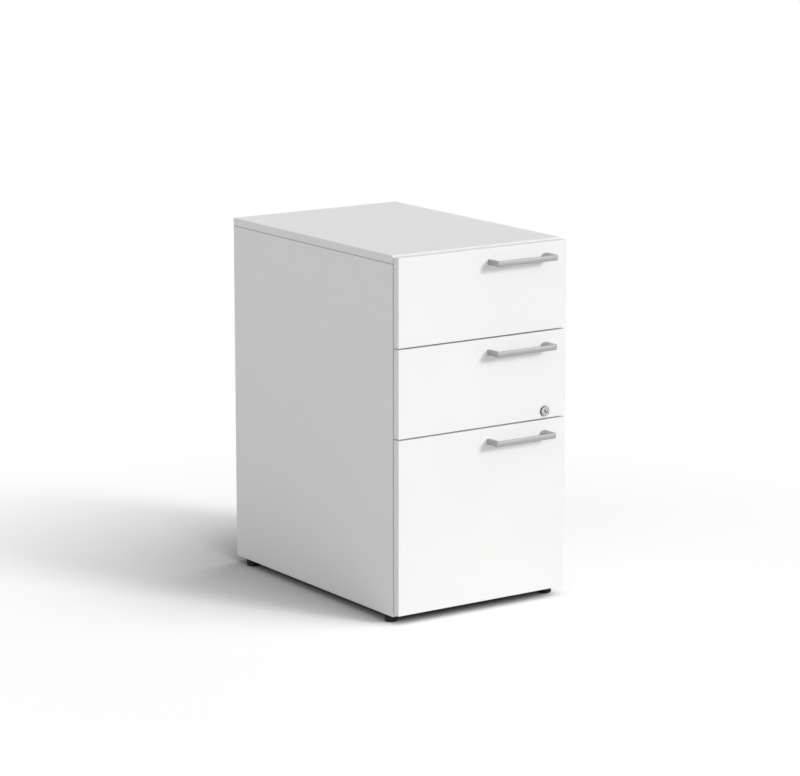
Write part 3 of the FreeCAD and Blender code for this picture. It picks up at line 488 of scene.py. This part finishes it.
# Details cut into copies of the carried-over parts
WELD = 0.001 * MM
SHARP = math.radians(28.0)
PROUD = 0.3 * MM
BODY_OF = {name: body for body, names in frame["record"]["behaviour"]["bodies"].items() for name in names}


def new_piece(name, mesh, material, body):
    """Adds a mesh to the part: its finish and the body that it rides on."""
    piece = bpy.data.objects.new(name, mesh)
    scene.collection.objects.link(piece)
    mesh.materials.clear()
    mesh.materials.append(material)
    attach(piece, body)
    return piece


def smooth(mesh):
    """Rounds the shading of a mesh except across its edges."""
    if "custom_normal" in mesh.attributes:
        mesh.attributes.remove(mesh.attributes["custom_normal"])
    mesh.shade_smooth()
    mesh.set_sharp_from_angle(angle=SHARP)


def welded(name):
    """The shape of a carried-over part, with its faces joined so that it can be cut."""
    work = bmesh.new()
    work.from_mesh(nodes[name].data)
    bmesh.ops.remove_doubles(work, verts=work.verts, dist=WELD)
    return work


def middle_of(points):
    """The middle of the box round some points."""
    return Vector([(min(values) + max(values)) / 2 for values in zip(*points)])


def solids(work):
    """The points of each separate solid of a shape, in the order of the solids' places."""
    unseen = set(work.verts)
    found = []
    while unseen:
        ahead = [unseen.pop()]
        points = []
        while ahead:
            vertex = ahead.pop()
            points.append(vertex.co.copy())
            beside = {edge.other_vert(vertex) for edge in vertex.link_edges} & unseen
            unseen -= beside
            ahead.extend(beside)
        found.append(points)
    found.sort(key=lambda points: tuple(round(value / MM, 1) for value in middle_of(points)))
    return found


def prism(work, outline, start, end, end_share=1.0):
    """Adds a closed prism from one place to another: an outline of offsets, narrower at its end."""
    first = [work.verts.new(start + offset) for offset in outline]
    last = [work.verts.new(end + offset * end_share) for offset in outline]
    work.faces.new(first)
    work.faces.new(last[::-1])
    for i in range(len(outline)):
        work.faces.new((first[i - 1], last[i - 1], last[i], first[i]))


def cut_copy(name, label, cutters):
    """Stands a copy of a carried-over part in its place, with the cutters' shapes taken out of it."""
    shape = bpy.data.meshes.new(label)
    work = welded(name)
    work.to_mesh(shape)
    work.free()
    piece = new_piece(label, shape, nodes[name].data.materials[0], BODY_OF[name])
    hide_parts(name)
    bmesh.ops.recalc_face_normals(cutters, faces=cutters.faces)
    tool_shape = bpy.data.meshes.new("cutters")
    cutters.to_mesh(tool_shape)
    cutters.free()
    tool = bpy.data.objects.new("cutters", tool_shape)
    scene.collection.objects.link(tool)
    cutting = piece.modifiers.new("cut", "BOOLEAN")
    cutting.operation = "DIFFERENCE"
    cutting.solver = "EXACT"
    cutting.object = tool
    cut = piece.evaluated_get(bpy.context.evaluated_depsgraph_get())
    piece.data = bpy.data.meshes.new_from_object(cut)
    piece.modifiers.clear()
    bpy.data.objects.remove(tool)
    smooth(piece.data)


# Driver crosses in screw heads and cam discs. Their sizes are shares of the head's width
SHAFT_ASPECT = 1.3
STUD_WIDTH = 6.5 * MM
SCREW_TURN = math.radians(37.0)
CROSS_ARM = 0.34
CROSS_HALF_WIDTH = 0.075
CROSS_DEPTH = 0.24
CROSS_TAPER = 0.45


def cross_outline(out, arm, half_width, turn):
    """A cross with four equal arms, square to a direction."""
    along = out.orthogonal().normalized()
    along.rotate(Quaternion(out, turn))
    outline = []
    for quarter in range(4):
        across = out.cross(along)
        outline += [along * arm - across * half_width, along * arm + across * half_width]
        outline.append((along + across) * half_width)
        along = across
    return outline


def head_end(points, middle, axis):
    """The end that a screw's head is on: one for the high end along its axis, minus one for the low end."""
    across = [other for other in range(3) if other != axis]
    widest = max(points, key=lambda point: sum((point[i] - middle[i]) ** 2 for i in across))
    return 1.0 if widest[axis] > middle[axis] else -1.0


def cut_heads(name):
    """Cuts a driver's cross into each screw head and cam disc of a group, and leaves plain studs alone."""
    work = welded(name)
    cutters = bmesh.new()
    for number, points in enumerate(solids(work)):
        middle = middle_of(points)
        reach = [max(abs(point[axis] - middle[axis]) for point in points) for axis in range(3)]
        shortest, between, longest = sorted(reach)
        width = 2 * between
        if longest < SHAFT_ASPECT * between:
            axis = reach.index(shortest)
            facing = 1.0 if axis == ALONG_X and middle.x <= 0 else -1.0
        elif width > STUD_WIDTH:
            axis = reach.index(longest)
            facing = head_end(points, middle, axis)
        else:
            continue
        out = Vector((0.0, 0.0, 0.0))
        out[axis] = facing
        face = middle + out * reach[axis]
        outline = cross_outline(out, CROSS_ARM * width, CROSS_HALF_WIDTH * width, number * SCREW_TURN)
        prism(cutters, outline, face + out * PROUD, face - out * CROSS_DEPTH * width, CROSS_TAPER)
    work.free()
    cut_copy(name, name + "_recessed", cutters)


for drawer in DRAWERS:
    cut_heads(drawer + "_drawer_screws")
    cut_heads(drawer + "_drawer_cam_fittings")
cut_heads("slide_screws")
cut_heads("cam_fittings")

# Fixing slots in the slide members. Their places are shares of a member's length
WEB = 1.2 * MM
SLOT_LENGTH = 15.0 * MM
SLOT_WIDTH = 4.6 * MM
SLOT_STEPS = 8
SLOT_PLACES = (0.15, 0.27, 0.42, 0.58, 0.73, 0.85)


def slot_outline():
    """A slot with round ends, lying along Y in a plane square to X."""
    outline = []
    for end in (1, -1):
        middle = Vector((0.0, end * (SLOT_LENGTH - SLOT_WIDTH) / 2, 0.0))
        for step in range(SLOT_STEPS + 1):
            angle = math.pi * (step / SLOT_STEPS - 0.5)
            outline.append(middle + Vector((0.0, math.cos(angle), math.sin(angle))) * end * SLOT_WIDTH / 2)
    return outline


def cut_slots(name, web_outside):
    """Cuts a row of fixing slots through the web of a slide member."""
    low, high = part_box(name)
    web_at_high = (low.x > 0) == web_outside
    web = high.x if web_at_high else low.x
    inwards = -1.0 if web_at_high else 1.0
    through = Vector((inwards * (WEB + 2 * PROUD), 0.0, 0.0))
    outline = slot_outline()
    cutters = bmesh.new()
    for share in SLOT_PLACES:
        start = Vector((web - inwards * PROUD, low.y + share * (high.y - low.y), (low.z + high.z) / 2))
        prism(cutters, outline, start, start + through)
    cut_copy(name, name + "_slotted", cutters)


for drawer in DRAWERS:
    for side in SIDES:
        cut_slots("%s_%s_slide_rail" % (drawer, side), web_outside=True)
        cut_slots("%s_%s_slide_runner" % (drawer, side), web_outside=False)

# Bow handles with a flat front and a rounded back, bent square at their ends
HANDLE_LEG = 14.0 * MM
HANDLE_BAR = 8.0 * MM
HANDLE_CROOK = 8.0 * MM
HANDLE_BEND = 2.6 * MM
HANDLE_EDGE = 2.0 * MM
HANDLE_STEPS = 6


def half_bow(reach):
    """Outer and inner points along half a handle, from its foot to the straight part of its bar.

    A point is its distance from the handle's end, then its distance from the drawer front.
    """
    centre = Vector((HANDLE_LEG + HANDLE_CROOK, reach - HANDLE_BAR - HANDLE_CROOK))
    bend_start = math.atan2(reach - HANDLE_BEND - centre.y, centre.x)
    bend_end = math.atan2(reach - centre.y, centre.x - HANDLE_BEND)
    shares = [step / HANDLE_STEPS for step in range(HANDLE_STEPS + 1)]
    turns = []
    for share in shares:
        angle = bend_start * share
        turns.append((angle, (0.0, centre.y + centre.x * math.tan(angle))))
    for share in shares[1:]:
        corner = QUARTER * share
        outer = (HANDLE_BEND * (1 - math.cos(corner)), reach - HANDLE_BEND * (1 - math.sin(corner)))
        turns.append((bend_start + (bend_end - bend_start) * share, outer))
    for share in shares[1:]:
        angle = bend_end + (QUARTER - bend_end) * share
        turns.append((angle, (centre.x - (reach - centre.y) * math.cos(angle) / math.sin(angle), reach)))
    pairs = [(Vector((0.0, 0.0)), Vector((HANDLE_LEG, 0.0)))]
    for angle, outer in turns:
        inner = centre + Vector((-math.cos(angle), math.sin(angle))) * HANDLE_CROOK
        pairs.append((Vector(outer), inner))
    return pairs


def handle_section(width, height):
    """The points round a handle's section: how far in from its outer side, how far up from its middle."""
    half = height / 2
    points = []
    for step in range(2 * HANDLE_STEPS + 1):
        angle = QUARTER * (step / HANDLE_STEPS - 1)
        points.append((HANDLE_EDGE + (width - HANDLE_EDGE) * math.cos(angle), half * math.sin(angle)))
    for quarter, up in ((1, half - HANDLE_EDGE), (2, HANDLE_EDGE - half)):
        for step in range(1, HANDLE_STEPS):
            angle = QUARTER * (quarter + step / HANDLE_STEPS)
            points.append((HANDLE_EDGE * (1 + math.cos(angle)), up + HANDLE_EDGE * math.sin(angle)))
    return points


def bow_handle(drawer):
    """A bow handle in the place of the carried-over one: broad legs and a bar that is round at the back."""
    name = drawer + "_drawer_handle"
    low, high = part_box(name)
    half = half_bow(high.y - low.y)
    stations = [(low.x, 1.0, pair) for pair in half] + [(high.x, -1.0, pair) for pair in half[::-1]]
    work = bmesh.new()
    rings = []
    for end, inwards, (outer, inner) in stations:
        start = Vector((end + inwards * outer.x, high.y - outer.y, (low.z + high.z) / 2))
        side = Vector((inwards * (inner.x - outer.x), outer.y - inner.y, 0.0))
        width = side.length
        ring = []
        for across, up in handle_section(width, high.z - low.z):
            ring.append(work.verts.new(start + side * (across / width) + Vector((0.0, 0.0, up))))
        rings.append(ring)
    for ring, following in zip(rings, rings[1:]):
        for i in range(len(ring)):
            work.faces.new((ring[i - 1], ring[i], following[i], following[i - 1]))
    work.faces.new(rings[0])
    work.faces.new(rings[-1])
    bmesh.ops.recalc_face_normals(work, faces=work.faces)
    mesh = bpy.data.meshes.new(name)
    work.to_mesh(mesh)
    work.free()
    smooth(mesh)
    piece = new_piece(drawer + "_bow_handle", mesh, handle_metal, BODY_OF[name])
    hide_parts(name)


for drawer in DRAWERS:
    bow_handle(drawer)

# Black plastic release levers in the runners
LEVER_LENGTH = 52.0 * MM
LEVER_NECK = 20.8 * MM
LEVER_TAIL = 4.2 * MM
LEVER_GRIP = 9.5 * MM
LEVER_THICK = 3.4 * MM
LEVER_PLACE = 0.66
LEVER_STEPS = 12
LEVER_ROUND = 0.8 * MM
LEVER_ROUND_STEPS = 3
ROUND_PROFILE = 0.5


def lever_outline():
    """A thumb grip with a round end, narrowing to a straight tail, in a plane square to X."""
    grip = LEVER_GRIP / 2
    tail = LEVER_TAIL / 2
    outline = []
    for step in range(LEVER_STEPS + 1):
        angle = math.pi * (0.5 - step / LEVER_STEPS)
        outline.append(Vector((0.0, -grip * math.cos(angle), grip * math.sin(angle))))
    for y, z in ((LEVER_NECK, -tail), (LEVER_LENGTH, -tail), (LEVER_LENGTH, tail), (LEVER_NECK, tail)):
        outline.append(Vector((0.0, y, z)))
    return outline


def release_lever(drawer, side):
    """A flat lever that lies on the web inside a runner."""
    low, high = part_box("%s_%s_slide_runner" % (drawer, side))
    out = 1.0 if side == "right" else -1.0
    web = (low.x if side == "right" else high.x) + out * WEB
    start = Vector((web, low.y + LEVER_PLACE * (high.y - low.y), (low.z + high.z) / 2))
    work = bmesh.new()
    prism(work, lever_outline(), start, start + Vector((out * LEVER_THICK, 0.0, 0.0)))
    bmesh.ops.recalc_face_normals(work, faces=work.faces)
    bmesh.ops.bevel(work, geom=list(work.edges), affect="EDGES", offset=LEVER_ROUND,
                    segments=LEVER_ROUND_STEPS, profile=ROUND_PROFILE)
    mesh = bpy.data.meshes.new("lever")
    work.to_mesh(mesh)
    work.free()
    smooth(mesh)
    new_piece("%s_%s_slide_lever" % (drawer, side), mesh, plastic, drawer + "_drawer")


for drawer in DRAWERS:
    for side in SIDES:
        release_lever(drawer, side)

# Studio floor: as it is seen, as it lights the part, and its painted shade: darker close under the part and
# on its side away from the key lamp
FLOOR_SIZE = 60.0
FLOOR_SEEN = 1.31
FLOOR_LIT = 0.66
SHADOW_NEAR = 0.50
SHADOW_FAR = 1.45
CONTACT = 0.12
CONTACT_DARK = 0.005
CONTACT_CLEAR = 0.13
KEY_SIDE = (0.8, -1.3, 0.0)
LEE_REACH = 1.00
LEE_DARK = 0.40
LEE_CLEAR = 0.84
LEE_LEVEL = 0.38
PLAIN_WHITE = (1.0, 1.0, 1.0, 1.0)


def floor_finish():
    """A white floor that shows the part's shadow near the part, with painted shade added close under the
    part and a painted shadow on its side away from the key lamp, and is plain white further out.
    """
    finish = Finish("studio_floor")
    away = finish.node("ShaderNodeVectorMath", {"operation": "LENGTH"}, {0: finish.place()}, output="Value")
    far = finish.spread(away, SHADOW_NEAR, SHADOW_FAR)
    # Painted shade: the floor darkens where the part stands close over it, and as a painted shadow on its
    # side away from the key lamp.
    painted_contact_shade = finish.spread(finish.open_share(CONTACT), CONTACT_DARK, CONTACT_CLEAR)
    painted_lee_shadow = finish.spread(finish.open_share(LEE_REACH, KEY_SIDE), LEE_DARK, LEE_CLEAR, start=LEE_LEVEL)
    catching = finish.node("ShaderNodeBsdfDiffuse", {}, {"Color": finish.grey(FLOOR_SEEN * painted_lee_shadow * painted_contact_shade)})
    white = finish.node("ShaderNodeEmission", {}, {"Color": PLAIN_WHITE, "Strength": 1.0})
    shown = finish.node("ShaderNodeMixShader", {}, {0: far, 1: catching, 2: white})
    # The painted shadow also darkens the light that the floor throws back onto the part.
    lit = finish.node("ShaderNodeBsdfDiffuse", {}, {"Color": finish.grey(FLOOR_LIT * painted_lee_shadow)})
    both = finish.node("ShaderNodeMixShader", {}, {0: finish.seen(), 1: lit, 2: shown})
    finish.node("ShaderNodeOutputMaterial", {}, {"Surface": both})
    return finish.material


bpy.ops.mesh.primitive_plane_add(size=FLOOR_SIZE)
floor = bpy.context.object
floor.name = "studio_floor"
floor.data.materials.append(floor_finish())

# World and lamps
WORLD_LEVEL = 0.368
scene.world = bpy.data.worlds.new("studio")
sky = NodeSheet(scene.world)
sky_level = sky.node("ShaderNodeMapRange", {}, {"Value": sky.seen(), "To Min": WORLD_LEVEL, "To Max": 1.0})
glow = sky.node("ShaderNodeBackground", {}, {"Color": PLAIN_WHITE, "Strength": sky_level})
sky.node("ShaderNodeOutputWorld", {}, {"Surface": glow})


def sun(name, towards, strength, softness):
    """A lamp so far off that its light is the same all over. It stands in the direction given.

    A white surface square to it would have the level of its strength. Its softness is in degrees.
    """
    lamp = bpy.data.lights.new(name, "SUN")
    lamp.energy = strength * math.pi
    lamp.angle = math.radians(softness)
    lamp_object = bpy.data.objects.new(name, lamp)
    lamp_object.rotation_euler = Vector(towards).to_track_quat("Z", "Y").to_euler()
    scene.collection.objects.link(lamp_object)


sun("key_lamp", towards=(0.50, -1.0, 0.44), strength=0.465, softness=15.0)
sun("front_fill_lamp", towards=(0.10, -1.0, 0.64), strength=0.275, softness=120.0)
sun("left_fill_lamp", towards=(-1.0, -0.35, 0.20), strength=0.166, softness=60.0)

# Camera, in front of the part and to its left, looking a little down
CAMERA_PLACE = (-3.5335, -5.1428, 1.6938)
CAMERA_DOWN = math.radians(11.776)
CAMERA_TURN = math.radians(-34.462)
CAMERA_LENS = 145.05
CAMERA_SENSOR = 36.0
CAMERA_REACH = 100.0
lens = bpy.data.cameras.new("camera")
lens.sensor_width = CAMERA_SENSOR
lens.lens = CAMERA_LENS
lens.clip_end = CAMERA_REACH
camera = bpy.data.objects.new("camera", lens)
camera.location = CAMERA_PLACE
camera.rotation_euler = (QUARTER - CAMERA_DOWN, 0.0, CAMERA_TURN)
scene.collection.objects.link(camera)
scene.camera = camera
